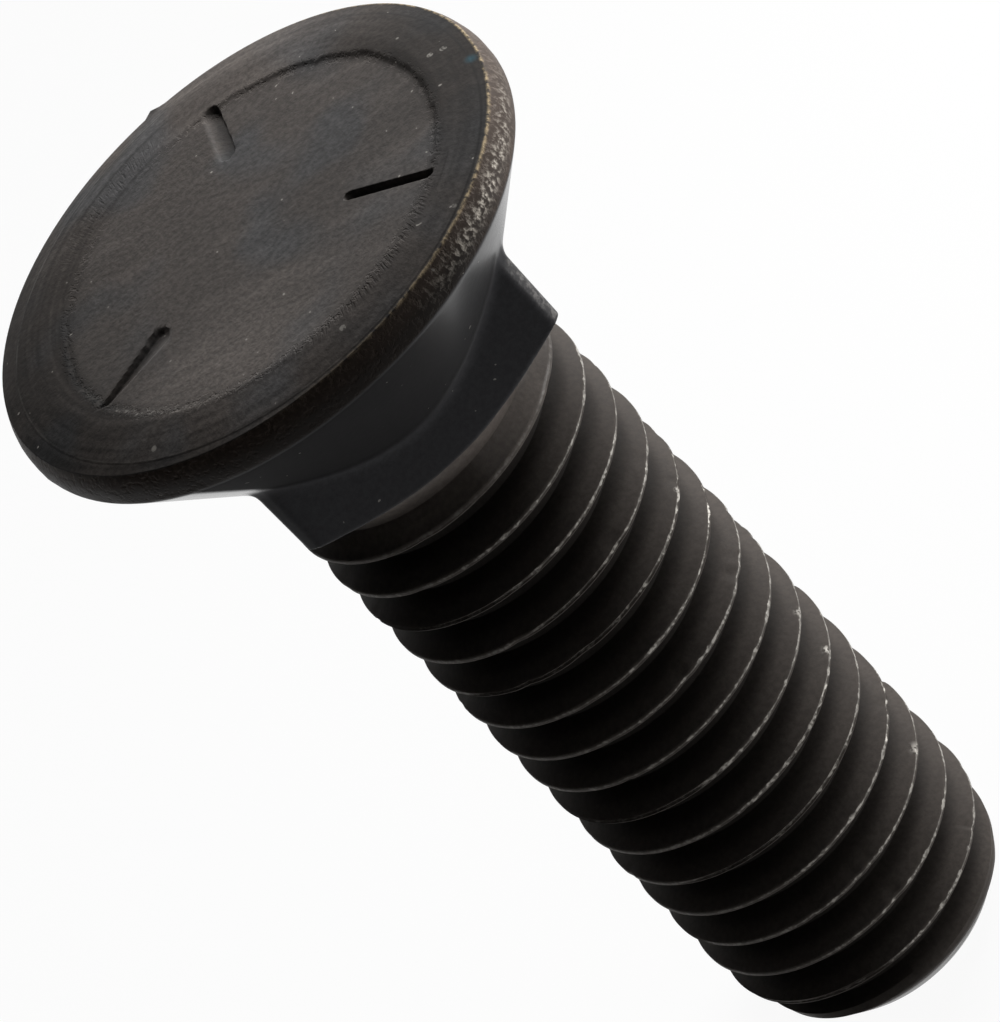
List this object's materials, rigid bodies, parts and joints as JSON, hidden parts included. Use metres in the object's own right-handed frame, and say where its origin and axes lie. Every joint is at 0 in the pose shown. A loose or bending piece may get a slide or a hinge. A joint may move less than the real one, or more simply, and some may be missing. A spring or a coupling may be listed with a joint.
{
  "type": "plow bolt",
  "caption": "Blackened steel plow bolt with a flat round countersunk head, a square neck and a coarse right-hand thread, for holding shares and sweeps.",
  "frame": {"origin": "middle of the point's flat end, the face the bolt stands on", "axes": "+Z along the bolt's axis towards the head, -Y square to one flat of the neck"},
  "size_m": [0.0194, 0.0194, 0.0384],
  "materials": {
    "blackened_steel": "matte black oxide, rubbed bright along the thread crests"
  },
  "bodies": {
    "root": {"plow_bolt": "blackened_steel"}
  },
  "joints": []
}
